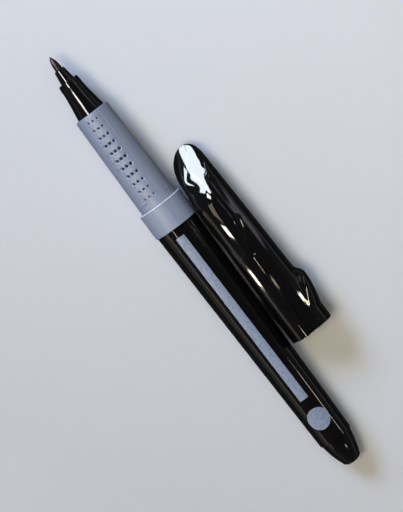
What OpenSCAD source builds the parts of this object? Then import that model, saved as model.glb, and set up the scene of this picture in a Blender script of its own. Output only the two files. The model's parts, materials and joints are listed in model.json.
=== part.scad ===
// Permanent marker, lying beside the cap that was pulled off it.
// Pen pieces are drawn on one axis with the tip at zero and the tail up, and then laid down.
// Cap pieces are drawn with the mouth at zero and the closed end up, clip towards +X.

/* [Nib] */
// Diameter of the fibre nib
nib_d = 2; // [1.2:0.1:2.4]
// Length of nib in front of its holder
nib_show = 4; // [3:0.1:5]
// Length of the rounded point
nib_point = 3.4; // [2:0.1:4]
// Length of nib inside the ink reservoir
nib_soak = 4; // [2:0.5:8]

/* [Nib holder] */
// Length of the thin nose
nose_len = 3.6; // [2:0.1:6]
// Wall of the nose at its front
nose_wall = 0.45; // [0.3:0.05:0.6]
// Radius that the nose gains towards its back
nose_taper = 0.45; // [0.2:0.05:0.6]
// Length of the sealing ring
ring_len = 1.9; // [1.2:0.1:3]
// Diameter of the sealing ring
ring_d = 5.9; // [5:0.1:7]
// Length of the flared cone
cone_len = 7.9; // [5:0.1:11]
// Length of the plug that goes into the grip
holder_plug_len = 11; // [6:0.5:14]
// Wall of the plug that goes into the grip
holder_wall = 1; // [0.6:0.1:1.2]

/* [Grip section] */
// Length of the grip
grip_len = 28.6; // [22:0.1:36]
// Radius that the grip loses towards its front
grip_taper = 0.475; // [0.2:0.025:0.6]
// Radius of the grip's front edge
grip_edge = 0.55; // [0.2:0.05:0.8]
// Width of the grip's front face, from its corner to the holder's cone
grip_lip = 0.9; // [0.8:0.05:1.1]
// Width of the step from the holder's cone to its plug
holder_ledge = 0.55; // [0.3:0.05:0.7]
// Length of the collar
collar_len = 7.2; // [4:0.1:10]
// Height of the collar over the barrel
collar_rise = 0.325; // [0.2:0.025:0.5]
// Width of the collar's front face, which the cap's rim seats on
cap_seat = 0.875; // [0.6:0.025:1]
// Length of the spigot inside the barrel
spigot_len = 10; // [6:0.5:14]
// Wall of the spigot
spigot_wall = 1.2; // [0.9:0.05:1.4]

/* [Dimples] */
// Fields of dimples round the grip
dimple_fields = 2; // [1:1:3]
// Columns of dimples along the grip
dimple_columns = 11; // [5:1:12]
// Rows of dimples in one field
dimple_rows = 3; // [1:1:5]
// Distance between rows round the grip
dimple_row_pitch = 1.45; // [1.3:0.05:1.6]
// Diameter of the dimples in the middle columns
dimple_mid_d = 1.25; // [0.7:0.05:1.35]
// Diameter of the dimples in the end columns
dimple_end_d = 0.7; // [0.4:0.05:0.9]
// Distance from the grip's front to the first column
dimple_front_inset = 1.9; // [1.5:0.1:3]
// Distance from the last column to the collar
dimple_rear_inset = 3; // [1.6:0.1:4]
// Turn of the first field from the top, away from the cap
dimple_turn = 12; // [0:1:60]

/* [Snap nubs] */
// Height of the nubs that hold the cap
nub_rise = 0.12; // [0.05:0.01:0.2]
// Radius of the nubs' rounded section
nub_round = 0.3; // [0.2:0.05:0.4]
// Length of a nub round the grip
nub_len = 2.6; // [1.5:0.1:4]
// Distance of the nubs from the collar
nub_inset = 2; // [1:0.1:3]
// Turn of the first nub from the top
nub_turn = 45; // [0:1:90]

/* [Barrel] */
// Length of the barrel
barrel_len = 68; // [54:0.5:82]
// Diameter of the barrel at the collar
barrel_front_d = 11.75; // [10:0.05:14.1]
// Radius that the barrel loses towards the tail
barrel_taper = 1.175; // [0.6:0.025:1.4]
// Wall of the barrel
barrel_wall = 0.9; // [0.7:0.05:1.1]

/* [Tail plug] */
// Length of the plug behind the barrel
plug_len = 8.1; // [6:0.1:11]
// Step in from the barrel to the plug
plug_step = 0.35; // [0.1:0.05:0.5]
// Radius that the plug loses before its end rounds over
plug_taper = 1.65; // [0.8:0.05:2]
// Length of the rounded end
plug_end_len = 1.4; // [0.8:0.1:2]
// Length of the plug inside the barrel
plug_seat_len = 8; // [5:0.5:11]
// Length of the crossed ribs that hold the reservoir forward
pusher_len = 6.8; // [3:0.1:12]
// Thickness of those ribs
pusher_w = 0.9; // [0.6:0.1:1.4]

/* [Ink] */
// Thickness of the film round the reservoir
wrap_wall = 0.15; // [0.1:0.01:0.2]
// Space between the holder and the reservoir
holder_gap = 2; // [0.5:0.1:4]

/* [Cap] */
// Wall of the cap at its mouth
cap_wall = 0.65; // [0.5:0.05:0.85]
// Radius that the body loses towards its closed end
cap_taper = 1.42; // [1:0.02:1.6]
// Length of the closed end past the space inside
cap_nose_len = 9.45; // [8:0.05:13]
// Radius that the body loses in rounding off at its closed end
cap_corner = 3; // [2:0.1:5]
// Length of that rounding
cap_corner_len = 5.3; // [4:0.1:8]
// Length that the slanted end cuts off the rounding
cap_tip_cut = 0.6; // [0.3:0.05:2]
// Length of the slanted end
slant_len = 10.8; // [8:0.1:13]
// Length of the straight bore inside the mouth
cap_bore_len = 10; // [8:0.5:14]
// Radius of the mouth's outer edge
cap_rim = 0.2; // [0.1:0.05:0.3]

/* [Clip] */
// Height of the clip's back over the mouth
clip_rise = 1.35; // [1.2:0.05:1.65]
// Thickness of the clip's arm
clip_wall = 0.87; // [0.6:0.01:1]
// Length of the clip's free arm
clip_arm = 30; // [24:0.5:36]
// Width of the clip at its free end
clip_tip_w = 3.8; // [3:0.1:5]
// Width that the arm gains towards its root
clip_flare = 1; // [0:0.1:1.5]
// Width of the root just behind the arm
clip_root_w = 7.5; // [6:0.1:8.4]
// Width of the root where it runs into the closed end
clip_neck_w = 7; // [5.6:0.1:7.6]
// Distance of the clip's end behind the mouth
clip_setback = 0.5; // [0.3:0.1:3]
// Radius of the clip's crowned top
clip_crown = 6; // [4:0.5:9]
// Radius across the slanted end
end_crown = 18; // [10:0.5:22]

/* [Flares] */
// Height of the flares beside the mouth
flare_rise = 1.55; // [0.8:0.05:2]
// Distance from the mouth to where a flare begins
flare_start = 4.3; // [2:0.1:6]
// Length of the ramp up to a flare's peak
flare_ramp = 9; // [5:0.1:11]
// Length of the steep side behind the peak
flare_back = 3; // [1.5:0.1:4]
// Angle from the clip to a flare's middle
flare_turn = 104; // [85:1:115]
// Half of a flare's spread at its wide end
flare_spread = 50; // [30:1:60]

/* [Inner cap] */
// Wall of the inner cap
inner_cap_wall = 0.5; // [0.4:0.05:0.6]
// Thickness of the inner cap's floor
inner_cap_floor = 0.9; // [0.6:0.1:1.5]
// Room between the nib's tip and the inner cap's floor
tip_room = 1.1; // [0.5:0.1:3]
// Length of sealing bore behind the holder's ring
seal_lead = 0.5; // [0.3:0.1:0.8]
// Length of sealing bore in front of the holder's ring
seal_over = 0.7; // [0.3:0.1:2]
// Ribs that centre the inner cap
inner_cap_ribs = 6; // [3:1:8]
// Thickness of a rib
inner_cap_rib_w = 0.7; // [0.4:0.1:1.2]

/* [Lying pose] */
// Distance from the nib's tip to the cap's mouth
cap_mouth_x = 95.35; // [70:0.05:120]
// Roll of the clip from the top towards the pen
cap_roll = 26; // [15:1:35]
// Slope of the cap's axis, closed end down
cap_pitch = 1.5; // [0.5:0.1:2.5]
// Gap left between the cap and the pen
cap_gap = 0.15; // [0.1:0.05:5]

/* [Fits] */
// Radial clearance of a plugged or pressed piece
fit = 0.02; // [0.01:0.01:0.05]
// Radial clearance between the cap and the grip
cap_fit = 0.1; // [0.05:0.01:0.2]
// Radial clearance between the inner cap and the ring
seal_fit = 0.02; // [0.01:0.01:0.05]
// Radial clearance between the wrapped reservoir and the tightest bore round it
reservoir_fit = 0.08; // [0.02:0.01:0.3]
// Size of small broken edges
edge = 0.15; // [0.05:0.05:0.2]

/* [Hidden] */

$fn = 64;
far = 200; // reach of a cut that goes right through
curve_steps = 8; // points along a drawn curve

// Stations along the pen, from the tip
nose_z = nib_show;
ring_z = nose_z + nose_len;
cone_z = ring_z + ring_len;
grip_z = cone_z + cone_len;
collar_z = grip_z + grip_len;
barrel_z = collar_z + collar_len;
plug_z = barrel_z + barrel_len;
tail_z = plug_z + plug_len;
holder_end_z = grip_z + holder_plug_len;
spigot_end_z = barrel_z + spigot_len;
plug_seat_z = plug_z - plug_seat_len;
reservoir_z = holder_end_z + holder_gap;
reservoir_end_z = plug_seat_z - pusher_len;
nib_end_z = reservoir_z + nib_soak;

// Outside radii, each from the one behind it
barrel_front_r = barrel_front_d / 2;
barrel_rear_r = barrel_front_r - barrel_taper;
collar_r = barrel_front_r + collar_rise;
grip_rear_r = collar_r - cap_seat;
grip_front_r = grip_rear_r - grip_taper;
cone_rear_r = grip_front_r - grip_lip;
holder_plug_r = cone_rear_r - holder_ledge;
ring_r = ring_d / 2;
nib_r = nib_d / 2;
nib_ogive = 1.7; // 1 rounds the nib's point, more sharpens it
nose_front_r = nib_r + nose_wall;
nose_rear_r = nose_front_r + nose_taper;
plug_front_r = barrel_rear_r - plug_step;
plug_end_r = plug_front_r - plug_taper;
plug_slope = 0.4; // 1 is a straight taper, less bows it outwards

// Bores, and what fits in them
nib_bore_r = nib_r + fit;
nib_guide_len = 5; // length of bore that holds the nib behind the ring
ring_lip = 0.3; // length of the slope behind the ring
ring_taper = 0.15; // radius that the ring loses towards its front
ring_step = 0.05; // radius that the slope behind the ring loses
cone_bend = 1.25; // 1 is a straight cone, more hollows it
spigot_r = barrel_front_r - barrel_wall - fit;
section_bore_r = min(spigot_r, grip_front_r) - spigot_wall;
plug_seat_r = barrel_rear_r - barrel_wall - fit;
wrap_r = min(section_bore_r, plug_seat_r) - reservoir_fit;
reservoir_r = wrap_r - wrap_wall - fit;
reservoir_len = reservoir_end_z - reservoir_z;

// Cap
cap_bore_r = grip_rear_r + cap_fit;
cap_throat_r = grip_front_r + cap_fit;
cap_throat_z = grip_len + grip_edge; // just past the grip's front when the cap is on
cap_lead = 0.2; // chamfer inside the mouth
cap_floor_z = collar_z + tip_room + inner_cap_floor;
cap_mouth_r = cap_bore_r + cap_wall;
cap_bow = 1.44; // 1 is a straight taper, more keeps the body full for longer
cap_len = cap_floor_z + cap_nose_len;
crest_r = cap_mouth_r + clip_rise;
slant_z = cap_len - slant_len;
slant_soft = 4; // length of the soft bend where the slanted end begins
root_blend_z = [clip_arm - 6, clip_arm + 6]; // where the arm widens into the root
neck_blend_z = [clip_arm + 4, clip_arm + 14]; // where the root narrows towards the closed end
edge_blend_z = [clip_arm + 8, cap_len - 7]; // where crisp clip edges soften into the rounded end
edge_crisp = 20;
edge_soft = 8;
foot_crisp = 40;
foot_soft = 12;
flare_fade = 0.4; // less keeps a flare wide for longer before it comes to a point
flare_peak_z = flare_start + flare_ramp;
flare_end_z = flare_peak_z + flare_back;
tiny = 0.001; // keeps a quotient finite

// Inner cap, placed by the holder's ring as it stands in the cap
inner_cap_z = collar_z - cone_z - seal_lead;
seal_end_z = collar_z - ring_z + seal_over;
seal_r = ring_r + seal_fit;
inner_cap_r = seal_r + inner_cap_wall;
chamber_r = nose_rear_r + inner_cap_wall;
rib_depth = 0.18; // how far a rib stands out at the cap's floor
cap_floor_r = inner_cap_r + rib_depth;

// Lying pose: the pen rests on the collar's back edge and on the barrel's back edge
pen_tilt = atan((collar_r - barrel_rear_r) / barrel_len);
pen_tip_h = collar_r * cos(pen_tilt) + barrel_z * sin(pen_tilt);

function smooth(a, b, x) = let (t = max(0, min(1, (x - a) / (b - a)))) t * t * (3 - 2 * t);

function grip_r(z) = grip_front_r + grip_taper * (z - grip_z) / grip_len;

function barrel_r(z) = barrel_front_r - barrel_taper * (z - barrel_z) / barrel_len;

// Widest radius of the pen at a distance from its tip
function pen_r(z) =
  z < grip_z ? cone_rear_r
  : z < collar_z ? grip_r(z)
  : z < barrel_z ? collar_r
  : z < plug_z ? barrel_r(z)
  : plug_front_r;

// Radius of the cap's round body, with a broken rim and a quarter ellipse that rounds off the closed end
function cap_body_r(z) =
  let (
    swell = cap_mouth_r - cap_taper * pow(z / cap_len, cap_bow),
    over = max(0, z - cap_len - cap_tip_cut + cap_corner_len) / cap_corner_len,
    rim = max(0, cap_rim - z)
  )
  swell - cap_corner * (1 - sqrt(1 - over * over)) - rim;

// Distance along the slanted end, which begins with a soft bend
function slant_run(z) = let (past = z - slant_z) (past + sqrt(past * past + slant_soft * slant_soft)) / 2;

// Height of the clip's back over the axis: nearly level, then slanted down to the closed end's far edge
function crest(z) = crest_r - (crest_r + cap_body_r(cap_len)) * slant_run(z) / slant_run(cap_len);

function crown(z) =
  clip_crown + (end_crown - clip_crown) * smooth(edge_blend_z[0], edge_blend_z[1], z);

// Half of the clip's width, which stays within the body where the closed end rounds off
widest_clip = 0.87; // share of the body's half width that the clip may take
function clip_half_w(z) =
  let (
    arm = clip_tip_w + clip_flare * min(1, z / clip_arm),
    root = clip_root_w + (clip_neck_w - clip_root_w) * smooth(neck_blend_z[0], neck_blend_z[1], z)
  )
  min((arm + (root - arm) * smooth(root_blend_z[0], root_blend_z[1], z)) / 2, cap_body_r(z) * widest_clip);

// Height of a flare at a distance from the mouth and an angle from the clip
function flare(z, a) =
  let (
    up = sin(90 * max(0, min(1, (z - flare_start) / flare_ramp))),
    down = 1 - smooth(flare_peak_z, flare_end_z, z),
    narrowing = pow(max(0, (flare_end_z - z) / (flare_end_z - flare_start)), flare_fade),
    off = min(1, abs(a - flare_turn) / max(1, flare_spread * narrowing))
  )
  flare_rise * up * down * cos(90 * off);

// Middle of a cross-section: the axis, or half way up where the slanted end cuts below it
function section_mid(z) = min(0, (crest(z) - cap_body_r(z)) / 2);

// Distance from that middle to the cap's skin, at an angle from the clip, which has sides above the axis only
function cap_skin(z, a) =
  let (
    c = section_mid(z),
    r = cap_body_r(z) + flare(z, a),
    round_d = -c * cos(a) + sqrt(max(0, r * r - pow(c * sin(a), 2))),
    walled = a < 90 && crest(z) > 0,
    wall_d = walled ? min(clip_half_w(z) / max(sin(a), tiny), 2 * crest_r) : 0,
    foot_p = foot_crisp + (foot_soft - foot_crisp) * smooth(root_blend_z[0], root_blend_z[1], z),
    side_d = pow(pow(round_d, foot_p) + pow(wall_d, foot_p), 1 / foot_p),
    bow = pow(sin(a), 2) / (2 * crown(z)),
    rise = crest(z) - c,
    top_d = 2 * rise / max(tiny, cos(a) + sqrt(pow(cos(a), 2) + 4 * bow * rise)),
    p = edge_crisp + (edge_soft - edge_crisp) * smooth(edge_blend_z[0], edge_blend_z[1], z)
  )
  pow(pow(side_d, -p) + pow(top_d, -p), -1 / p);

// Angles of the points of half a section: over the clip, down its side, and round the body
clip_points = 5;
body_points = 16;
least_foot = 3; // degrees between the clip's top edge and its foot
function half_angles(z) =
  let (
    c = section_mid(z),
    w = clip_half_w(z),
    top = atan2(w, crest(z) - w * w / (2 * crown(z)) - c),
    foot = max(top + least_foot, atan2(w, sqrt(pow(cap_body_r(z), 2) - w * w) - c))
  )
  concat(
    [for (i = [0 : clip_points - 1]) top * i / clip_points],
    [top, (top + foot) / 2, foot],
    [for (i = [1 : body_points]) foot + (180 - foot) * i / body_points]
  );

function section(z) =
  let (half = half_angles(z), n = len(half), c = section_mid(z))
  concat(
    [for (i = [0 : n - 1]) let (a = half[i], d = cap_skin(z, a)) [c + d * cos(a), d * sin(a), z]],
    [for (i = [n - 2 : -1 : 1]) let (a = half[i], d = cap_skin(z, a)) [c + d * cos(a), -d * sin(a), z]]
  );

// Heights of the sections: closer together at the rim, over the flares and over the closed end
ramp_sections = 5;
back_sections = 4;
arm_sections = 3;
end_sections = 18;
apex_step = 0.5; // part of a step left between the last section and the apex
section_z = concat(
  [0, cap_rim, flare_start / 2],
  [for (i = [0 : ramp_sections - 1]) flare_start + flare_ramp * i / ramp_sections],
  [for (i = [0 : back_sections]) flare_peak_z + flare_back * i / back_sections],
  [for (i = [1 : arm_sections]) flare_end_z + (root_blend_z[0] - flare_end_z) * i / arm_sections],
  [for (i = [1 : end_sections])
    root_blend_z[0] + (cap_len - root_blend_z[0]) * sin(90 * i / (end_sections + apex_step))]
);
cap_rings = [for (z = section_z) section(z)];
cap_apex = [-cap_body_r(cap_len), 0, cap_len];

// A point of the cap as the cap lies, before it is set beside the pen
function laid(p) =
  let (
    y = p[1] * cos(cap_roll) - p[0] * sin(cap_roll),
    h = p[1] * sin(cap_roll) + p[0] * cos(cap_roll)
  )
  [-p[2] * cos(cap_pitch) - h * sin(cap_pitch), y, -p[2] * sin(cap_pitch) + h * cos(cap_pitch)];

laid_points = [for (ring = cap_rings, p = ring) laid(p)];
cap_h = -min([for (p = laid_points) p[2]]);

// Sideways room that one point of the cap needs to clear the pen
function side_room(p) =
  let (
    x = p[0] + cap_mouth_x,
    r = pen_r(x) + cap_gap,
    dh = p[2] + cap_h - pen_tip_h + x * tan(pen_tilt)
  )
  abs(dh) < r ? sqrt(r * r - dh * dh) - p[1] : 0;

cap_y = max([for (p = laid_points) side_room(p)]);
part_x_min = min(0, cap_mouth_x + min([for (p = laid_points) p[0]]));
part_x_max = max(tail_z * cos(pen_tilt), cap_mouth_x + max([for (p = laid_points) p[0]]));
part_y_max = cap_y + max([for (p = laid_points) p[1]]);
part_shift = [-(part_x_min + part_x_max) / 2, (collar_r - part_y_max) / 2, 0];

// Laying the pieces down
module lay_pen() {
  translate(part_shift + [0, 0, pen_tip_h])
    rotate([0, 90 + pen_tilt, 0])
      children();
}

module lay_cap() {
  translate(part_shift + [cap_mouth_x, cap_y, cap_h])
    rotate([0, -cap_pitch, 0])
      rotate([cap_roll, 0, 0])
        rotate([0, -90, 0])
          children();
}

module revolve(points) {
  rotate_extrude()
    polygon(points);
}

// Pieces of the pen

module nib() {
  point = [
    for (i = [0 : curve_steps])
      let (a = 90 * i / curve_steps)
      [nib_r * pow(sin(a), nib_ogive), nib_point * (1 - cos(a))]
  ];
  color("#20182c")
    lay_pen()
      revolve(concat(point, [
        [nib_r, nib_end_z - nib_r],
        [nib_r / 2, nib_end_z],
        [0, nib_end_z]
      ]));
}

module nib_holder() {
  cone_front_r = ring_r - ring_step;
  cone = [
    for (i = [0 : curve_steps])
      let (t = i / curve_steps)
      [cone_front_r + (cone_rear_r - cone_front_r) * pow(t, cone_bend), cone_z + cone_len * t]
  ];
  guide_end_z = cone_z + nib_guide_len;
  color("#101012")
    lay_pen()
      revolve(concat(
        [
          [nib_bore_r, nose_z],
          [nose_front_r - edge, nose_z],
          [nose_front_r, nose_z + edge],
          [nose_rear_r, ring_z],
          [ring_r - ring_taper - edge, ring_z],
          [ring_r - ring_taper, ring_z + edge],
          [ring_r, cone_z - ring_lip]
        ],
        cone,
        [
          [holder_plug_r, grip_z],
          [holder_plug_r, holder_end_z - edge],
          [holder_plug_r - edge, holder_end_z],
          [holder_plug_r - holder_wall, holder_end_z],
          [holder_plug_r - holder_wall, guide_end_z + holder_wall],
          [nib_bore_r, guide_end_z]
        ]
      ));
}

// Hollows with their poles turned in and out, so that no pole lies on the grip's skin
module dimples() {
  first_z = grip_z + dimple_front_inset;
  pitch = (grip_len - dimple_front_inset - dimple_rear_inset) / (dimple_columns - 1);
  row_turn = dimple_row_pitch / grip_rear_r * 180 / PI;
  for (field = [0 : dimple_fields - 1], column = [0 : dimple_columns - 1], row = [0 : dimple_rows - 1]) {
    z = first_z + column * pitch;
    swell = sin(180 * column / (dimple_columns - 1));
    turn = 180 + dimple_turn + field * 360 / dimple_fields + (row - (dimple_rows - 1) / 2) * row_turn;
    rotate(turn)
      translate([grip_r(z), 0, z])
        rotate([0, 90, 0])
          sphere(d = dimple_end_d + (dimple_mid_d - dimple_end_d) * swell);
  }
}

module snap_nubs() {
  z = collar_z - nub_inset;
  intersection() {
    rotate_extrude()
      translate([grip_r(z) + nub_rise - nub_round, z])
        circle(r = nub_round);
    for (quarter = [0, 90])
      rotate(nub_turn + quarter)
        translate([-far / 2, -nub_len / 2, 0])
          cube([far, nub_len, far]);
  }
}

module grip_section() {
  front = [
    for (i = [0 : curve_steps])
      let (a = 90 * i / curve_steps)
      [grip_front_r - grip_edge * (1 - sin(a)), grip_z + grip_edge * (1 - cos(a))]
  ];
  holder_bore_r = holder_plug_r + fit;
  holder_bore_end_z = holder_end_z + fit;
  outline = concat(
    [[holder_bore_r, grip_z]],
    front,
    [
      [grip_rear_r, collar_z],
      [collar_r - edge, collar_z],
      [collar_r, collar_z + edge],
      [collar_r, barrel_z],
      [spigot_r, barrel_z],
      [spigot_r, spigot_end_z - edge],
      [spigot_r - edge, spigot_end_z],
      [section_bore_r, spigot_end_z],
      [section_bore_r, holder_bore_end_z],
      [holder_bore_r, holder_bore_end_z]
    ]
  );
  color("#8f9bab")
    lay_pen()
      difference() {
        union() {
          revolve(outline);
          snap_nubs();
        }
        dimples();
      }
}

module barrel() {
  socket_r = spigot_r + fit;
  socket_end_z = spigot_end_z + fit;
  plug_socket_r = plug_seat_r + fit;
  color("#0c0c0e")
    lay_pen()
      revolve([
        [socket_r, barrel_z],
        [barrel_front_r - edge, barrel_z],
        [barrel_front_r, barrel_z + edge],
        [barrel_rear_r, plug_z],
        [plug_socket_r, plug_z],
        [plug_socket_r, plug_seat_z],
        [barrel_r(socket_end_z) - barrel_wall, socket_end_z],
        [socket_r, socket_end_z]
      ]);
}

module ink_reservoir() {
  color("#2b2038")
    lay_pen()
      difference() {
        translate([0, 0, reservoir_z])
          cylinder(r = reservoir_r, h = reservoir_len);
        translate([0, 0, nib_end_z - far])
          cylinder(r = nib_bore_r, h = far);
      }
}

module reservoir_wrap() {
  color("#d8dce0")
    lay_pen()
      translate([0, 0, reservoir_z])
        difference() {
          cylinder(r = wrap_r, h = reservoir_len);
          translate([0, 0, -far / 2])
            cylinder(r = reservoir_r + fit, h = far);
        }
}

module tail_plug() {
  side_len = plug_len - plug_end_len;
  seat = [
    [0, plug_seat_z],
    [plug_seat_r - edge, plug_seat_z],
    [plug_seat_r, plug_seat_z + edge],
    [plug_seat_r, plug_z]
  ];
  side = [
    for (i = [0 : curve_steps])
      let (t = i / curve_steps)
      [plug_front_r - plug_taper * (plug_slope * t + (1 - plug_slope) * t * t), plug_z + side_len * t]
  ];
  end = [
    for (i = [1 : curve_steps])
      let (a = 90 * i / curve_steps)
      [plug_end_r * cos(a), plug_z + side_len + plug_end_len * sin(a)]
  ];
  color("#0c0c0e")
    lay_pen()
      union() {
        revolve(concat(seat, side, end));
        for (turn = [0, 90])
          rotate(turn)
            translate([-wrap_r, -pusher_w / 2, reservoir_end_z])
              cube([2 * wrap_r, pusher_w, pusher_len + edge]);
      }
}

// Pieces of the cap

// Radius of the space inside the cap, past its straight bore and its throat
function cap_inside_r(z) =
  cap_throat_r + (cap_floor_r - cap_throat_r) * (z - cap_throat_z) / (cap_floor_z - cap_throat_z);

module cap_inside() {
  revolve([
    [0, -edge],
    [cap_bore_r + cap_lead + edge, -edge],
    [cap_bore_r, cap_lead],
    [cap_bore_r, cap_bore_len],
    [cap_throat_r, cap_throat_z],
    [cap_floor_r, cap_floor_z],
    [0, cap_floor_z]
  ]);
}

module cap_skin_solid() {
  n = len(cap_rings[0]);
  rings = len(cap_rings);
  points = concat([for (ring = cap_rings, p = ring) p], [cap_apex, [0, 0, 0]]);
  apex = rings * n;
  centre = apex + 1;
  side = [
    for (k = [0 : rings - 2], i = [0 : n - 1])
      let (a = k * n + i, b = k * n + (i + 1) % n)
      each [[a, a + n, b], [b, a + n, b + n]]
  ];
  mouth = [for (i = [0 : n - 1]) [i, (i + 1) % n, centre]];
  top = [for (i = [0 : n - 1]) [apex - n + i, apex, apex - n + (i + 1) % n]];
  polyhedron(points, concat(mouth, side, top), convexity = 6);
}

// Space under the clip's arm, and past its free end
module clip_slot() {
  skin = 0.05; // left on the body so that the slot doesn't graze it
  steps = 6;
  body_z = concat(
    [for (i = [steps : -1 : 0]) cap_rim + (clip_arm - cap_rim) * i / steps],
    [0, -edge]
  );
  intersection() {
    revolve(concat(
      [
        [2 * crest_r, -edge],
        [2 * crest_r, clip_setback],
        [crest(clip_setback) - clip_wall, clip_setback],
        [crest(clip_arm) - clip_wall, clip_arm]
      ],
      [for (z = body_z) [cap_body_r(max(0, z)) + skin, z]]
    ));
    translate([0, -clip_root_w / 2, -far / 2])
      cube([far, clip_root_w, far]);
  }
}

module cap_shell() {
  color("#0c0c0e")
    lay_cap()
      difference() {
        cap_skin_solid();
        cap_inside();
        clip_slot();
      }
}

module inner_cap_cup() {
  chamber_wall_r = chamber_r + inner_cap_wall;
  floor_z = cap_floor_z - inner_cap_floor;
  revolve([
    [seal_r + edge, inner_cap_z],
    [inner_cap_r, inner_cap_z],
    [inner_cap_r, seal_end_z],
    [chamber_wall_r, seal_end_z + inner_cap_wall],
    [chamber_wall_r, cap_floor_z],
    [0, cap_floor_z],
    [0, floor_z],
    [chamber_r, floor_z],
    [chamber_r, seal_end_z],
    [seal_r, seal_end_z],
    [seal_r, inner_cap_z + edge]
  ]);
}

module inner_cap_rib_set() {
  rib_z = inner_cap_z + edge;
  intersection() {
    revolve([
      [chamber_r + fit, rib_z],
      [cap_inside_r(rib_z) - fit, rib_z],
      [cap_floor_r - fit, cap_floor_z],
      [chamber_r + fit, cap_floor_z]
    ]);
    difference() {
      for (i = [0 : inner_cap_ribs - 1])
        rotate(i * 360 / inner_cap_ribs)
          translate([0, -inner_cap_rib_w / 2, 0])
            cube([far, inner_cap_rib_w, far]);
      cylinder(r = seal_r + inner_cap_wall / 2, h = seal_end_z);
    }
  }
}

module inner_cap() {
  color("#e6e6e2")
    lay_cap()
      union() {
        inner_cap_cup();
        inner_cap_rib_set();
      }
}

nib();
nib_holder();
grip_section();
barrel();
ink_reservoir();
reservoir_wrap();
tail_plug();
cap_shell();
inner_cap();
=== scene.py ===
"""Looks of a permanent marker that lies beside the cap pulled off it.

Sizes of the object are in millimetres until a mesh is made, those of lamps and camera in metres.
The pen and the cap each have their own axis: the pen's runs from the tip at zero to the tail, the
cap's from the mouth at zero to the closed end.
"""

import json
import math

import bpy
import numpy as np
from mathutils import Matrix, Vector


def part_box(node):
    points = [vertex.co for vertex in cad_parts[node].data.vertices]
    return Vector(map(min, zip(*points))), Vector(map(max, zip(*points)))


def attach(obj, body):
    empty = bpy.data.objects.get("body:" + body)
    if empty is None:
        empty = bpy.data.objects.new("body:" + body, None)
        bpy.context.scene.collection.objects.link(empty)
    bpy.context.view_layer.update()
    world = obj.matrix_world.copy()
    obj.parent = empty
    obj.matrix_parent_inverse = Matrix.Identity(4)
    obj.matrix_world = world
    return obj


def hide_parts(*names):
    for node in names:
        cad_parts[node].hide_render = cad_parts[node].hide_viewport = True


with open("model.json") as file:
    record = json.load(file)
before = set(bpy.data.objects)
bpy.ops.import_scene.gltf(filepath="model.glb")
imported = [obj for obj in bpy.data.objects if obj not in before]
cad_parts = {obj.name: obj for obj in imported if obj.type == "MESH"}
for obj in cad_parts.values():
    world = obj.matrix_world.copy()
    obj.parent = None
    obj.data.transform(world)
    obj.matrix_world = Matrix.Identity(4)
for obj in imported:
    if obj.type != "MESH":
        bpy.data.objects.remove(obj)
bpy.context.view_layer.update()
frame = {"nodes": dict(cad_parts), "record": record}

MM = 0.001
TINY = 1e-6

# Sizes of the pen that its pose, the grip's look and the printed marks need
GRIP_Z = 17.4
GRIP_LEN = 28.6
GRIP_FRONT_R = 4.85
GRIP_TAPER = 0.475
COLLAR_Z = GRIP_Z + GRIP_LEN
COLLAR_R = 6.2
BARREL_Z = 53.2
BARREL_LEN = 68.0
BARREL_FRONT_R = 5.875
BARREL_REAR_R = 4.7

# The cap's round body, and how far it is rolled as it lies
CAP_LEN = 57.45
CAP_MOUTH_R = 6.075
CAP_TAPER = 1.42
CAP_BOW = 1.44
CAP_CORNER = 3.0
CAP_CORNER_LEN = 5.3
CAP_TIP_CUT = 0.6
CAP_RIM = 0.2
CAP_ROLL = 26.0

# The cap's bore
CAP_BORE_R = 5.425
CAP_BORE_LEN = 10.0
CAP_LEAD = 0.2
CAP_THROAT_R = 4.95
CAP_THROAT_Z = 29.15
CAP_FLOOR_R = 3.65
CAP_FLOOR_Z = 48.0
CUT_PAST = 1.0  # how far a cutting shape reaches out of the mouth

# The clip, which runs into the slanted end
CLIP_RISE = 1.35
CLIP_WALL = 0.87
CLIP_ARM = 30.0
CLIP_TIP_W = 3.8
CLIP_FLARE = 1.0
CLIP_ROOT_W = 7.5
CLIP_NECK_W = 7.0
CLIP_SETBACK = 0.5
CLIP_WIDEST = 0.87
CLIP_CROWN = 6.0
END_CROWN = 18.0
SLANT_LEN = 10.8
SLANT_SOFT = 4.0
EDGE_CRISP, EDGE_SOFT = 20.0, 8.0
FOOT_CRISP, FOOT_SOFT = 40.0, 12.0
CREST_R = CAP_MOUTH_R + CLIP_RISE
ROOT_BLEND = (CLIP_ARM - 6, CLIP_ARM + 6)
NECK_BLEND = (CLIP_ARM + 4, CLIP_ARM + 14)
EDGE_BLEND = (CLIP_ARM + 8, CAP_LEN - 7)
SLOT_SKIN = 0.05
SLOT_STEP = 0.0001  # run of the slot's step at the arm's free end, which is nearly square

# The flares beside the mouth
FLARE_RISE = 1.55
FLARE_START = 4.3
FLARE_RAMP = 9.0
FLARE_BACK = 3.0
FLARE_TURN = 104.0
FLARE_SPREAD = 50.0
FLARE_FADE = 0.4
FLARE_PEAK_Z = FLARE_START + FLARE_RAMP
FLARE_END_Z = FLARE_PEAK_Z + FLARE_BACK

# Shading of the slanted end: where it is lifted, and where its outer edge is pulled flat
FACET_TILT = math.radians(42)
FACET_Z = (45, 50)
FACET_FACING = (0.86, 0.97)
FACET_LIFT = 0.57
EDGE_Z = (41.5, 44.5)
EDGE_END_Z = (48.0, 55.5)
EDGE_FACING = (0.35, 0.6)
EDGE_SIDE = (0.05, 0.3)
EDGE_PULL = 0.9

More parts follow.
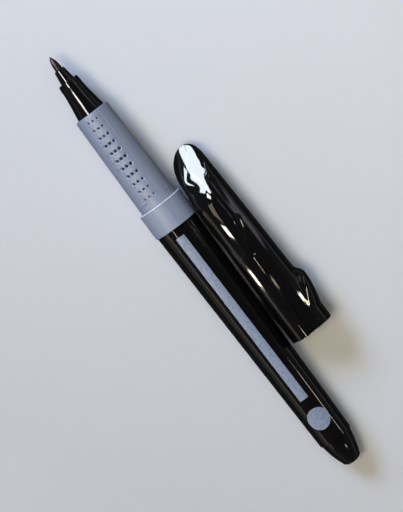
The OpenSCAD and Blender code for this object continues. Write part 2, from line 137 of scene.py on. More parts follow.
# How finely the cap is divided
SKIN_IN = 0.035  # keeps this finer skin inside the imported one
OVER_CLIP_STEPS = 12
CLIP_SIDE_STEPS = 10
ROUND_STEPS = 48
ROUND_EVEN = 0.8
FOOT_TURN = 3  # degrees that at least lie between the clip's top edge and its foot
RIM_RINGS = 5
START_RINGS = 5
FLARE_RINGS = 43
ARM_RINGS = 9
END_RINGS = 80
BORE_STEPS = 128
SLOT_RIM_STEPS = 4
SLOT_ARM_STEPS = 23
SLOT_WIDE_STEPS = 40
CAP_SHARP_DEG = 32


# Where the pen and the cap lie

def pen_matrix():
    """The pen rests on the back edges of its collar and its barrel, and is centred like its node."""
    low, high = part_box("barrel")
    tilt = math.atan((COLLAR_R - BARREL_REAR_R) / BARREL_LEN)
    tip_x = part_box("nib")[0].x
    tip_h = (COLLAR_R * math.cos(tilt) + BARREL_Z * math.sin(tilt)) * MM
    tip = Vector((tip_x, (low.y + high.y) / 2, tip_h))
    return Matrix.Translation(tip) @ Matrix.Rotation(math.pi / 2 + tilt, 4, "Y")


def cap_matrix():
    """The cap's axis is that of the mount in its mouth, and its clip is rolled towards the pen."""
    mount = next(m for m in frame["record"]["mounts"] if m["name"] == "cap_mouth")
    axis = Vector(mount["axis"])
    mouth = Vector(mount["pos_m"]) + axis * (CAP_LEAD + CAP_BORE_LEN) / 2 * MM
    pitch = math.atan2(axis.z, axis.x)
    turn = Matrix.Rotation(-pitch, 4, "Y") @ Matrix.Rotation(math.radians(CAP_ROLL), 4, "X")
    return Matrix.Translation(mouth) @ turn @ Matrix.Rotation(-math.pi / 2, 4, "Y")


PEN = pen_matrix()
CAP = cap_matrix()


# Meshes

def new_object(name, points, faces, matrix=Matrix.Identity(4)):
    """A mesh object from points in millimetres on an axis, laid by a matrix in metres."""
    mesh = bpy.data.meshes.new(name)
    mesh.from_pydata([matrix @ (Vector(p) * MM) for p in points], [], faces)
    mesh.validate()
    made = bpy.data.objects.new(name, mesh)
    bpy.context.scene.collection.objects.link(made)
    return made


def tube_faces(rings, n, first=0):
    """Faces between rings of n points, which follow each other from a first point on."""
    faces = []
    for k in range(rings - 1):
        for i in range(n):
            a, b = first + k * n + i, first + k * n + (i + 1) % n
            faces.append((a, b, b + n, a + n))
    return faces


def revolved(name, profile, steps, matrix):
    """A closed solid of revolution about the axis, from a profile that starts and ends on it."""
    points = [(0, 0, profile[0][1])]
    turns = [2 * math.pi * i / steps for i in range(steps)]
    for r, z in profile[1:-1]:
        points += [(r * math.cos(a), r * math.sin(a), z) for a in turns]
    points.append((0, 0, profile[-1][1]))
    rings = len(profile) - 2
    faces = [(0, 1 + (i + 1) % steps, 1 + i) for i in range(steps)]
    faces += tube_faces(rings, steps, first=1)
    last = 1 + (rings - 1) * steps
    faces += [(last + i, last + (i + 1) % steps, len(points) - 1) for i in range(steps)]
    return new_object(name, points, faces, matrix)


def cut_away(body, tools):
    """Takes the tools' volumes out of the body, and deletes the tools."""
    for tool in tools:
        cut = body.modifiers.new(tool.name, "BOOLEAN")
        cut.operation = "DIFFERENCE"
        cut.solver = "EXACT"
        cut.object = tool
    graph = bpy.context.evaluated_depsgraph_get()
    mesh = bpy.data.meshes.new_from_object(body.evaluated_get(graph))
    body.modifiers.clear()
    body.data = mesh
    for tool in tools:
        bpy.data.objects.remove(tool)


def smooth_shade(piece, sharp_deg):
    piece.data.shade_smooth()
    piece.data.set_sharp_from_angle(angle=math.radians(sharp_deg))


# The cap's skin

def smooth(a, b, x):
    t = np.clip((x - a) / (b - a), 0, 1)
    return t * t * (3 - 2 * t)


def cap_body_r(z):
    """Radius of the round body, with a rounded rim and a quarter ellipse that rounds off the end."""
    swell = CAP_MOUTH_R - CAP_TAPER * (z / CAP_LEN) ** CAP_BOW
    over = max(0, z - CAP_LEN - CAP_TIP_CUT + CAP_CORNER_LEN) / CAP_CORNER_LEN
    rim = max(0, CAP_RIM - z)
    rim_drop = CAP_RIM - math.sqrt(CAP_RIM ** 2 - rim ** 2)
    return swell - CAP_CORNER * (1 - math.sqrt(1 - over ** 2)) - rim_drop


def slant_run(z):
    """Distance along the slanted end, which begins with a soft bend."""
    past = z - CAP_LEN + SLANT_LEN
    return (past + math.hypot(past, SLANT_SOFT)) / 2


def crest(z):
    """Height of the clip's back over the axis: nearly level, then slanted down to the end's far edge."""
    return CREST_R - (CREST_R + cap_body_r(CAP_LEN)) * slant_run(z) / slant_run(CAP_LEN)


def crown(z):
    """Radius of the clip's rounded back, across it."""
    return CLIP_CROWN + (END_CROWN - CLIP_CROWN) * smooth(*EDGE_BLEND, z)


def clip_half_w(z):
    arm = CLIP_TIP_W + CLIP_FLARE * min(1, z / CLIP_ARM)
    root = CLIP_ROOT_W + (CLIP_NECK_W - CLIP_ROOT_W) * smooth(*NECK_BLEND, z)
    return min((arm + (root - arm) * smooth(*ROOT_BLEND, z)) / 2, cap_body_r(z) * CLIP_WIDEST)


def flare(z, a):
    """Height of the flares beside the mouth, at angles in degrees from the clip."""
    up = math.sin(math.pi / 2 * min(1, max(0, (z - FLARE_START) / FLARE_RAMP)))
    down = 1 - smooth(FLARE_PEAK_Z, FLARE_END_Z, z)
    narrowing = max(0, (FLARE_END_Z - z) / (FLARE_END_Z - FLARE_START)) ** FLARE_FADE
    off = np.minimum(1, np.abs(a - FLARE_TURN) / max(1, FLARE_SPREAD * narrowing))
    return FLARE_RISE * up * down * np.cos(np.pi / 2 * off)


def section_mid(z):
    """Height of a section's middle, which sinks with the slanted end."""
    return min(0, (crest(z) - cap_body_r(z)) / 2)


def cap_skin(z, a):
    """Distances from a section's middle to the skin, at angles in degrees from the clip."""
    c = section_mid(z)
    r = cap_body_r(z) + flare(z, a)
    cos, sin = np.cos(np.radians(a)), np.sin(np.radians(a))
    round_d = -c * cos + np.sqrt(np.maximum(0, r * r - (c * sin) ** 2))
    walled = (a < 90) & (crest(z) > 0)
    wall_d = np.where(walled, np.minimum(clip_half_w(z) / np.maximum(sin, TINY), 2 * CREST_R), TINY)
    foot_p = FOOT_CRISP + (FOOT_SOFT - FOOT_CRISP) * smooth(*ROOT_BLEND, z)
    side_d = (round_d ** foot_p + wall_d ** foot_p) ** (1 / foot_p)
    bow = sin ** 2 / (2 * crown(z))
    rise = crest(z) - c
    top_d = 2 * rise / np.maximum(TINY, cos + np.sqrt(cos ** 2 + 4 * bow * rise))
    p = EDGE_CRISP + (EDGE_SOFT - EDGE_CRISP) * smooth(*EDGE_BLEND, z)
    return (side_d ** -p + top_d ** -p) ** (-1 / p) - min(SKIN_IN, rise / 2)


def half_angles(z):
    """Angles of half a section, close together at the clip's top edge and at its foot."""
    c = section_mid(z)
    w = clip_half_w(z)
    top = math.degrees(math.atan2(w, crest(z) - w * w / (2 * crown(z)) - c))
    foot = math.degrees(math.atan2(w, math.sqrt(cap_body_r(z) ** 2 - w * w) - c))
    foot = max(top + FOOT_TURN, foot)
    over = np.arange(OVER_CLIP_STEPS) / OVER_CLIP_STEPS
    down = np.arange(CLIP_SIDE_STEPS) / CLIP_SIDE_STEPS
    about = np.arange(ROUND_STEPS + 1) / ROUND_STEPS
    over_clip = top * np.sin(np.pi / 2 * over)
    down_side = top + (foot - top) * (1 - np.cos(np.pi * down)) / 2
    round_body = foot + (180 - foot) * (1 - np.cos(np.pi / 2 * about)) ** ROUND_EVEN
    return np.concatenate([over_clip, down_side, round_body])


def section(z):
    half = half_angles(z)
    d = cap_skin(z, half)
    c = section_mid(z)
    x = c + d * np.cos(np.radians(half))
    y = d * np.sin(np.radians(half))
    ring = [(px, py, z) for px, py in zip(x, y)]
    return ring + [(px, -py, z) for px, py, _ in ring[-2:0:-1]]


def section_heights():
    """Heights of the sections: closer together at the rim, over the flares and over the closed end."""
    rim = [CAP_RIM * (1 - math.cos(math.pi / 2 * i / RIM_RINGS)) for i in range(RIM_RINGS)]
    start = np.linspace(CAP_RIM, FLARE_START, START_RINGS, endpoint=False)
    flares = np.linspace(FLARE_START, FLARE_END_Z, FLARE_RINGS, endpoint=False)
    arm = np.linspace(FLARE_END_Z, ROOT_BLEND[0], ARM_RINGS, endpoint=False)
    end_len = CAP_LEN - ROOT_BLEND[0]
    end = [ROOT_BLEND[0] + end_len * math.sin(math.pi / 2 * i / END_RINGS) for i in range(END_RINGS)]
    return [*rim, *start, *flares, *arm, *end]


def make_cap_skin():
    rings = [section(z) for z in section_heights()]
    n = len(rings[0])
    points = [p for ring in rings for p in ring]
    points += [(-cap_body_r(CAP_LEN), 0, CAP_LEN), (0, 0, 0)]
    apex, centre = len(points) - 2, len(points) - 1
    faces = tube_faces(len(rings), n)
    last = apex - n
    faces += [(last + i, last + (i + 1) % n, apex) for i in range(n)]
    faces += [((i + 1) % n, i, centre) for i in range(n)]
    return new_object("cap_skin", points, faces, CAP)


def make_cap_inside():
    profile = [
        (0, -CUT_PAST),
        (CAP_BORE_R + CAP_LEAD + CUT_PAST, -CUT_PAST),
        (CAP_BORE_R, CAP_LEAD),
        (CAP_BORE_R, CAP_BORE_LEN),
        (CAP_THROAT_R, CAP_THROAT_Z),
        (CAP_FLOOR_R, CAP_FLOOR_Z),
        (0, CAP_FLOOR_Z),
    ]
    return revolved("cap_inside", profile, BORE_STEPS, CAP)


def make_clip_slot():
    """Space under the clip's arm and past its free end: a swept block between the body and the arm."""
    half_w = CLIP_ROOT_W / 2
    heights = [-CUT_PAST] + [CAP_RIM * i / SLOT_RIM_STEPS for i in range(SLOT_RIM_STEPS + 1)]
    heights += [(CAP_RIM + CLIP_SETBACK) / 2, CLIP_SETBACK, CLIP_SETBACK + SLOT_STEP]
    heights += list(np.linspace(CLIP_SETBACK, CLIP_ARM, SLOT_ARM_STEPS + 1)[1:])
    across = np.linspace(-half_w, half_w, SLOT_WIDE_STEPS + 1)
    points = []
    for z in heights:
        inner = cap_body_r(max(0, z)) + SLOT_SKIN
        outer = 2 * CREST_R if z <= CLIP_SETBACK else crest(z) - CLIP_WALL
        points += [(math.sqrt(inner ** 2 - y ** 2), y, z) for y in across]
        points += [(math.sqrt(outer ** 2 - y ** 2), y, z) for y in across[::-1]]
    n = 2 * len(across)
    last = (len(heights) - 1) * n
    faces = tube_faces(len(heights), n)
    faces += [tuple(reversed(range(n))), tuple(range(last, last + n))]
    return new_object("clip_slot", points, faces, CAP)


def level_facet(cap):
    """Lifts the slanted end's shading normals, and flattens them up to a crisp edge on its outer side."""
    mesh = cap.data
    to_axis = CAP.inverted()
    facet = (CAP.to_3x3() @ Vector((math.cos(FACET_TILT), 0, math.sin(FACET_TILT)))).normalized()
    up = Vector((0, 0, FACET_LIFT))
    level = (facet + up).normalized()
    normals = []
    for loop, corner in zip(mesh.loops, mesh.corner_normals):
        normal = Vector(corner.vector)
        z = (to_axis @ mesh.vertices[loop.vertex_index].co).z / MM
        facing = normal.dot(facet)
        lift = smooth(*FACET_Z, z) * smooth(*FACET_FACING, facing)
        outer = smooth(*EDGE_FACING, facing) * smooth(*EDGE_SIDE, normal.y - facet.y)
        pull = outer * smooth(*EDGE_Z, z) * (1 - smooth(*EDGE_END_Z, z))
        lifted = (normal + up * float(lift)).normalized()
        normals.append(lifted.lerp(level, EDGE_PULL * float(pull)).normalized())
    mesh.normals_split_custom_set(normals)


def make_cap():
    cap = make_cap_skin()
    cut_away(cap, [make_cap_inside(), make_clip_slot()])
    cap.name = "cap_moulding"
    smooth_shade(cap, CAP_SHARP_DEG)
    level_facet(cap)
    cap.data.materials.append(MATERIALS["cap_plastic"])
    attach(cap, "cap")
    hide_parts("cap_shell")


# Shader nodes

def new_material(name):
    made = bpy.data.materials.new(name)
    made.use_nodes = True
    return made, made.node_tree, made.node_tree.nodes["Principled BSDF"]


def add_node(tree, kind, inputs=None, **settings):
    """A shader node with its settings, and its inputs by name: a value, or a socket to link."""
    made = tree.nodes.new("ShaderNode" + kind)
    for key, value in settings.items():
        setattr(made, key, value)
    for key, value in (inputs or {}).items():
        if isinstance(value, bpy.types.NodeSocket):
            tree.links.new(value, made.inputs[key])
        else:
            made.inputs[key].default_value = value
    return made


def feed(tree, shader, key, socket):
    tree.links.new(socket, shader.inputs[key])


def scaled(colour, factor):
    return tuple(c * factor for c in colour)


def shades(colour, factors):
    return [scaled(colour, factor) for factor in factors]


def stretched(tree, per_mm):
    """Object coordinates in millimetres, times a scale for all axes or one for each."""
    scale = per_mm if isinstance(per_mm, tuple) else (per_mm,) * 3
    coords = add_node(tree, "TexCoord")
    mapping = add_node(tree, "Mapping", {"Vector": coords.outputs["Object"]})
    mapping.inputs["Scale"].default_value = [s / MM for s in scale]
    return mapping.outputs["Vector"]


def along_pen(tree):
    """Millimetres from the tip and from the pen's axis, and how far a face looks outwards."""
    coords = add_node(tree, "TexCoord")
    turned = add_node(tree, "Mapping", {"Vector": coords.outputs["Normal"]}, vector_type="TEXTURE")
    turned.inputs["Rotation"].default_value = PEN.to_euler()
    mapping = add_node(tree, "Mapping", {"Vector": coords.outputs["Object"]}, vector_type="TEXTURE")
    mapping.inputs["Location"].default_value = PEN.to_translation()
    mapping.inputs["Rotation"].default_value = PEN.to_euler()
    mapping.inputs["Scale"].default_value = (MM, MM, MM)
    parts = add_node(tree, "SeparateXYZ", {"Vector": mapping.outputs["Vector"]})
    flat = add_node(tree, "CombineXYZ", {"X": parts.outputs["X"], "Y": parts.outputs["Y"]})
    radius = add_node(tree, "VectorMath", {0: flat.outputs["Vector"]}, operation="LENGTH")
    outwards = add_node(tree, "VectorMath", {0: flat.outputs["Vector"]}, operation="NORMALIZE")
    both = {0: turned.outputs["Vector"], 1: outwards.outputs["Vector"]}
    facing = add_node(tree, "VectorMath", both, operation="DOT_PRODUCT")
    return parts.outputs["Z"], radius.outputs["Value"], facing.outputs["Value"]


def reckoned(tree, operation, *values):
    made = add_node(tree, "Math", dict(enumerate(values)), operation=operation)
    return made.outputs["Value"]


def noise(tree, per_mm, detail=3.0, roughness=0.5):
    made = add_node(tree, "TexNoise", {"Vector": stretched(tree, per_mm), "Scale": 1.0})
    made.inputs["Detail"].default_value = detail
    made.inputs["Roughness"].default_value = roughness
    return made.outputs["Fac"]


def ranged(tree, value, span, to=(0.0, 1.0)):
    """A value moved from one span to another, and held at its ends."""
    made = add_node(tree, "MapRange", {"Value": value})
    for key, number in zip(("From Min", "From Max", "To Min", "To Max"), (*span, *to)):
        made.inputs[key].default_value = number
    return made.outputs["Result"]


def mixed(tree, factor, a, b):
    """A blend of two colours, each of them a value or a socket."""
    made = add_node(tree, "Mix", data_type="RGBA")
    tree.links.new(factor, made.inputs[0])
    for socket, value in ((made.inputs[6], a), (made.inputs[7], b)):
        if isinstance(value, bpy.types.NodeSocket):
            tree.links.new(value, socket)
        else:
            socket.default_value = (*value, 1.0)
    return made.outputs[2]


def bumped(tree, shader, height, depth, strength):
    made = add_node(tree, "Bump", {"Height": height, "Strength": strength, "Distance": depth * MM})
    feed(tree, shader, "Normal", made.outputs["Normal"])


# Shares at which a speck's edge and the choice of cells are full
SPECK_CORE = 0.5
SHARE_CORE = 0.9


def dust(tree, cell, size, share):
    """A mask of tiny specks: one in some cells of a lattice, of a size in millimetres."""
    cells = add_node(tree, "TexVoronoi", {"Vector": stretched(tree, 1 / cell), "Scale": 1.0})
    near = ranged(tree, cells.outputs["Distance"], (size / cell, size / cell * SPECK_CORE))
    chosen = add_node(tree, "SeparateColor", {"Color": cells.outputs["Color"]})
    keep = ranged(tree, chosen.outputs["Red"], (share, share * SHARE_CORE))
    return reckoned(tree, "MULTIPLY", near, keep)


# Materials

# Depths and specks are in millimetres, and PER_MM says how often a texture changes in a millimetre.
# SHADES are shares of a colour, ROUGH is a range or shares of a roughness, and a SPAN or a FACING is
# the range of values over which a look sets in.
MID_SPAN = (0.3, 0.7)  # where most values of a noise lie

BLACK = (0.0035, 0.0033, 0.0036)
GLOSS_IOR = 1.32
GLOSS_DUST = {"cell": 2.6, "size": 0.1, "share": 0.14}
DUST_GREY = (0.4, 0.4, 0.4)
HAZE_PER_MM = 0.25
HAZE_SPAN = (0.35, 0.7)
HAZE_ROUGH = (0.7, 1.5)
HAZE_SHADES = (0.8, 1.25)
HAIR_PER_MM = (0.12, 9.0, 9.0)
HAIR_SPAN = (0.68, 0.74)
RIPPLE_PER_MM = 0.5
RIPPLE_DEPTH = 0.02


def gloss_plastic(name, rough, wear, ripple):
    """Polished black moulding: faint ripple, hazier patches, hairline scratches along it and dust."""
    made, tree, shader = new_material(name)
    haze = noise(tree, HAZE_PER_MM, detail=4.0)
    hairs = noise(tree, HAIR_PER_MM, detail=2.0)
    scratch = ranged(tree, hairs, HAIR_SPAN, (0.0, wear))
    hazy = ranged(tree, haze, HAZE_SPAN, [rough * factor for factor in HAZE_ROUGH])
    specks = dust(tree, **GLOSS_DUST)
    worn = reckoned(tree, "ADD", hazy, scratch)
    feed(tree, shader, "Roughness", reckoned(tree, "MAXIMUM", worn, specks))
    shade = mixed(tree, haze, *shades(BLACK, HAZE_SHADES))
    feed(tree, shader, "Base Color", mixed(tree, specks, shade, DUST_GREY))
    shader.inputs["IOR"].default_value = GLOSS_IOR
    bumped(tree, shader, noise(tree, RIPPLE_PER_MM, detail=2.0), RIPPLE_DEPTH, ripple)
    return made


GRIP_BLUE = (0.2, 0.238, 0.325)
SEAM_BLUE = (0.25, 0.285, 0.36)
SATIN_IOR = 1.5
SATIN_DUST = {"cell": 1.9, "size": 0.06, "share": 0.1}
SPECK_SHADE = 0.4
LINE_PER_MM = (0.035, 3.2, 3.2)
LINE_SPAN = (0.32, 0.68)
LINE_SHADES = (0.84, 1.14)
COLLAR_SKIN = (COLLAR_R - 0.5, COLLAR_R - 0.3)
# Painted sheen: the collar's tone is painted lighter than the grip's, with stronger streaks
COLLAR_PAINTED_SHEEN = (0.75, 1.4)
# Painted highlight: a pale line painted along the collar's front edge, where light catches it
COLLAR_EDGE_HIGHLIGHT = (0.72, 0.77, 0.84)
COLLAR_EDGE_HIGHLIGHT_Z = (COLLAR_Z + 0.1, COLLAR_Z + 0.3)
COLLAR_EDGE_HIGHLIGHT_SHARE = 0.9
FRONT_EDGE_Z = (GRIP_Z + 0.7, GRIP_Z + 0.9)
DIMPLE_DEPTH = (0.035, 0.06)
DIMPLE_SHARE = 0.95
DIMPLE_FACING = (0.6, 0.8)
# Painted light in the dimples: pale rims as a painted highlight, near-black cores as painted shade
DIMPLE_PAINTED_RIM_AND_SHADE = (2.3, 0.05)
DIMPLE_SPAN = (0.0, 0.9)
DIMPLE_SHEEN = (0.5, 0.08)
PATCH_PER_MM = 0.3
PATCH_ROUGH = (0.85, 1.15)
GRAIN_PER_MM = 7.0
GRAIN_DEPTH = 0.03
GRAIN_STRENGTH = 0.3


def in_dimples(tree, z, radius):
    """A mask of what lies below the grip's tapered skin, behind its rounded front edge."""
    slope = GRIP_TAPER / GRIP_LEN
    skin_r = reckoned(tree, "MULTIPLY_ADD", z, slope, GRIP_FRONT_R - slope * GRIP_Z)
    depth = reckoned(tree, "SUBTRACT", skin_r, radius)
    below = ranged(tree, depth, DIMPLE_DEPTH, (0.0, DIMPLE_SHARE))
    return reckoned(tree, "MULTIPLY", below, ranged(tree, z, FRONT_EDGE_Z))


def satin_plastic(name, colour, rough):
    """Satin moulding of the grip: lines along it, painted sheen on the collar and a painted highlight on
    its front edge, dimples with painted highlights on their rims and painted shade in their cores, and
    fine grain.
    """
    made, tree, shader = new_material(name)
    z, radius, facing = along_pen(tree)
    lines = noise(tree, LINE_PER_MM, detail=4.0, roughness=0.6)
    drawn = mixed(tree, ranged(tree, lines, LINE_SPAN), *shades(colour, LINE_SHADES))
    collar = ranged(tree, radius, COLLAR_SKIN)
    # painted sheen: the collar is painted lighter and more streaked than the rest of the grip
    shade = mixed(tree, collar, drawn, mixed(tree, lines, *shades(colour, COLLAR_PAINTED_SHEEN)))
    # a painted highlight along the collar's front edge
    edge = ranged(tree, z, COLLAR_EDGE_HIGHLIGHT_Z, (COLLAR_EDGE_HIGHLIGHT_SHARE, 0.0))
    shade = mixed(tree, reckoned(tree, "MULTIPLY", edge, collar), shade, COLLAR_EDGE_HIGHLIGHT)
    inside = in_dimples(tree, z, radius)
    # painted highlight on the dimples' rims and painted shade in their cores
    painted_pit = mixed(tree, ranged(tree, facing, DIMPLE_FACING), *shades(colour, DIMPLE_PAINTED_RIM_AND_SHADE))
    shade = mixed(tree, inside, shade, painted_pit)
    specks = dust(tree, **SATIN_DUST)
    feed(tree, shader, "Base Color", mixed(tree, specks, shade, scaled(colour, SPECK_SHADE)))
    patches = noise(tree, PATCH_PER_MM, detail=4.0)
    patchy = ranged(tree, patches, MID_SPAN, [rough * factor for factor in PATCH_ROUGH])
    feed(tree, shader, "Roughness", patchy)
    shader.inputs["IOR"].default_value = SATIN_IOR
    feed(tree, shader, "Specular IOR Level", ranged(tree, inside, DIMPLE_SPAN, DIMPLE_SHEEN))
    grain = reckoned(tree, "ADD", noise(tree, GRAIN_PER_MM, detail=2.0), lines)
    bumped(tree, shader, grain, GRAIN_DEPTH, GRAIN_STRENGTH)
    return made


NIB_DARK, NIB_PALE = (0.002, 0.001, 0.0015), (0.012, 0.005, 0.007)
NIB_PER_MM = (0.5, 14.0, 14.0)
NIB_ROUGH = (0.22, 0.4)
NIB_IOR = 1.34
NIB_SHEEN = (1.0, 0.76, 0.82, 1.0)
NIB_DEPTH = 0.05
NIB_STRENGTH = 0.5


def nib_fibre(name):
    """Pressed fibre soaked with ink: lengthwise fibres, matt, with a faint wet sheen."""
    made, tree, shader = new_material(name)
    fibres = noise(tree, NIB_PER_MM, detail=4.0, roughness=0.65)
    feed(tree, shader, "Base Color", mixed(tree, fibres, NIB_DARK, NIB_PALE))
    feed(tree, shader, "Roughness", ranged(tree, fibres, MID_SPAN, NIB_ROUGH))
    shader.inputs["IOR"].default_value = NIB_IOR
    shader.inputs["Specular Tint"].default_value = NIB_SHEEN
    bumped(tree, shader, fibres, NIB_DEPTH, NIB_STRENGTH)
    return made


INK_DARK, INK_PALE = (0.01, 0.007, 0.018), (0.06, 0.045, 0.09)
INK_PER_MM = (0.2, 6.0, 6.0)
INK_ROUGH = (0.6, 0.9)
INK_DEPTH = 0.1
INK_STRENGTH = 0.6


def ink_fibre(name):
    """Coarse lengthwise fibre bundle soaked with ink."""
    made, tree, shader = new_material(name)
    fibres = noise(tree, INK_PER_MM, detail=4.0)
    feed(tree, shader, "Base Color", mixed(tree, fibres, INK_DARK, INK_PALE))
    feed(tree, shader, "Roughness", ranged(tree, fibres, MID_SPAN, INK_ROUGH))
    bumped(tree, shader, fibres, INK_DEPTH, INK_STRENGTH)
    return made


WRAP_COLOUR = (0.75, 0.78, 0.8, 1.0)
WRAP_CLEAR = 0.6
WRINKLE_PER_MM = (0.08, 1.5, 1.5)
WRINKLE_ROUGH = (0.08, 0.2)
WRINKLE_DEPTH = 0.1
WRINKLE_STRENGTH = 0.4


def wrap_film(name):
    """Clear film with faint wrinkles along it."""
    made, tree, shader = new_material(name)
    wrinkles = noise(tree, WRINKLE_PER_MM, detail=2.0)
    feed(tree, shader, "Roughness", ranged(tree, wrinkles, MID_SPAN, WRINKLE_ROUGH))
    shader.inputs["Base Color"].default_value = WRAP_COLOUR
    shader.inputs["Transmission Weight"].default_value = WRAP_CLEAR
    bumped(tree, shader, wrinkles, WRINKLE_DEPTH, WRINKLE_STRENGTH)
    return made


SEAL_DARK, SEAL_PALE = (0.66, 0.66, 0.63), (0.76, 0.76, 0.73)
SEAL_ROUGH = (0.32, 0.48)
SEAL_GLOW = 0.2
SEAL_GLOW_DEPTH = 0.6
MOTTLE_PER_MM = 0.4
SEAL_GRAIN_PER_MM = 5.0
SEAL_GRAIN_DEPTH = 0.02
SEAL_GRAIN_STRENGTH = 0.2


def seal_plastic(name):
    """Natural, slightly waxy moulding."""
    made, tree, shader = new_material(name)
    mottle = noise(tree, MOTTLE_PER_MM)
    feed(tree, shader, "Base Color", mixed(tree, mottle, SEAL_DARK, SEAL_PALE))
    feed(tree, shader, "Roughness", ranged(tree, mottle, MID_SPAN, SEAL_ROUGH))
    shader.inputs["Subsurface Weight"].default_value = SEAL_GLOW
    shader.inputs["Subsurface Scale"].default_value = SEAL_GLOW_DEPTH * MM
    bumped(tree, shader, noise(tree, SEAL_GRAIN_PER_MM), SEAL_GRAIN_DEPTH, SEAL_GRAIN_STRENGTH)
    return made


PRINT_BLUE = (0.22, 0.27, 0.37)
PRINT_PER_MM = 1.2
PRINT_SHADES = (0.88, 1.1)
PRINT_ROUGH = (0.22, 0.36)
PINHOLES = {"cell": 0.9, "size": 0.05, "share": 0.25}
PINHOLE_SHADE = 0.4
PRINT_GRAIN_PER_MM = 9.0
PRINT_GRAIN_DEPTH = 0.01
PRINT_GRAIN_STRENGTH = 0.2


def print_ink(name, colour):
    """Screen-printed ink: opaque, a little uneven, with pinholes."""
    made, tree, shader = new_material(name)
    film = noise(tree, PRINT_PER_MM, detail=4.0)
    shade = mixed(tree, film, *shades(colour, PRINT_SHADES))
    pinholes = dust(tree, **PINHOLES)
    feed(tree, shader, "Base Color", mixed(tree, pinholes, shade, scaled(colour, PINHOLE_SHADE)))
    feed(tree, shader, "Roughness", ranged(tree, film, MID_SPAN, PRINT_ROUGH))
    bumped(tree, shader, noise(tree, PRINT_GRAIN_PER_MM), PRINT_GRAIN_DEPTH, PRINT_GRAIN_STRENGTH)
    return made


MATERIALS = {
    "nib_fibre": nib_fibre("nib_fibre_look"),
    "holder_plastic": gloss_plastic("holder_plastic_look", rough=0.1, wear=0.12, ripple=0.12),
    "grip_plastic": satin_plastic("grip_plastic_look", GRIP_BLUE, rough=0.48),
    "barrel_plastic": gloss_plastic("barrel_plastic_look", rough=0.07, wear=0.15, ripple=0.08),
    "ink_fibre": ink_fibre("ink_fibre_look"),
    "wrap_film": wrap_film("wrap_film_look"),
    "plug_plastic": gloss_plastic("plug_plastic_look", rough=0.08, wear=0.2, ripple=0.1),
    "cap_plastic": gloss_plastic("cap_plastic_look", rough=0.03, wear=0.1, ripple=0.03),
    "seal_plastic": seal_plastic("seal_plastic_look"),
}
SEAM = satin_plastic("grip_seam_look", SEAM_BLUE, rough=0.5)
PRINT_GREY = print_ink("print_grey_look", PRINT_BLUE)


def dress_nodes():
    """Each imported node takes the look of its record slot."""
    for part in frame["record"]["subparts"]:
        node = frame["nodes"][part["node"]]
        node.data.materials.clear()
        node.data.materials.append(MATERIALS[part["material_slot"]])


# Films on the pen: printed marks and the grip's moulding seams

# Heights of a film's two faces over the pen's skin
FILM_TOP = 0.02
FILM_FOOT = -0.03
FILM_STEP = 1.5
FILM_STEP_ACROSS = 0.25
FILM_SHARP_DEG = 40
DISC_STEPS = 72
DISC_STEP_OUT = 0.3
DISC_HOLE_R = 0.01


def barrel_r(z):
    return BARREL_FRONT_R + (BARREL_REAR_R - BARREL_FRONT_R) * (z - BARREL_Z) / BARREL_LEN


def grip_r(z):
    return GRIP_FRONT_R + GRIP_TAPER * (z - GRIP_Z) / GRIP_LEN


def on_pen(radius, z, arc, lift):
    """A point on the pen, an arc in millimetres from the top line, on the side away from the cap."""
    r = radius(z)
    a = arc / r
    r += lift
    return (-r * math.cos(a), -r * math.sin(a), z)


def film_mesh(radius, place, rows, columns, closed):
    """Points and faces of a thin film with walls; place gives (z, arc) for two shares from 0 to 1."""
    points, faces = [], []
    lines = rows if closed else rows + 1
    for lift in (FILM_TOP, FILM_FOOT):
        for i in range(lines):
            points += [on_pen(radius, *place(i / rows, j / columns), lift) for j in range(columns + 1)]
    wide = columns + 1
    under = lines * wide
    walls = []
    for i in range(rows):
        first, second = i * wide, (i + 1) % lines * wide
        for j in range(columns):
            a, b = first + j, second + j
            faces.append((a, a + 1, b + 1, b))
            faces.append((under + a, under + b, under + b + 1, under + a + 1))
        walls += [(first + columns, second + columns), (second, first)]
    if not closed:
        walls += [(j, j + 1) for j in range(columns)]
        walls += [(rows * wide + j + 1, rows * wide + j) for j in range(columns)]
    faces += [(a, under + a, under + b, b) for a, b in walls]
    return points, faces


def make_films(name, radius, films, material):
    """One piece from several films of the same material."""
    points, faces = [], []
    for film in films:
        more_points, more_faces = film_mesh(radius, *film)
        faces += [tuple(i + len(points) for i in face) for face in more_faces]
        points += more_points
    made = new_object(name, points, faces, PEN)
    smooth_shade(made, FILM_SHARP_DEG)
    made.data.materials.append(material)
    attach(made, "pen")


def strip(start_z, end_z, arcs, width):
    """A strip along the pen, between the arcs of its two ends: its places, steps, and that it is open."""
    length = end_z - start_z

    def place(s, t):
        return start_z + s * length, arcs[0] + (arcs[1] - arcs[0]) * s + (t - 0.5) * width

    return place, max(1, round(length / FILM_STEP)), max(2, round(width / FILM_STEP_ACROSS)), False


def disc(z, arc, r):
    """A disc with a pinprick in its middle: its places, steps, and that it closes on itself."""
    def place(s, t):
        turn = 2 * math.pi * s
        out = DISC_HOLE_R + (r - DISC_HOLE_R) * t
        return z + out * math.cos(turn), arc + out * math.sin(turn)

    return place, DISC_STEPS, max(2, round((r - DISC_HOLE_R) / DISC_STEP_OUT)), True


STRIP_START_Z, STRIP_END_Z = 55.7, 107.9
STRIP_ARCS = (1.07, 0.65)
STRIP_W = 2.5
DISC_Z = 114.15
DISC_ARC = 0.7
DISC_R = 3.05
SEAM_MID_ARC = -1.8
SEAM_INSET = 0.8
SEAM_W = 0.15


def make_prints():
    films = [strip(STRIP_START_Z, STRIP_END_Z, STRIP_ARCS, STRIP_W), disc(DISC_Z, DISC_ARC, DISC_R)]
    make_films("print_grey", barrel_r, films, PRINT_GREY)


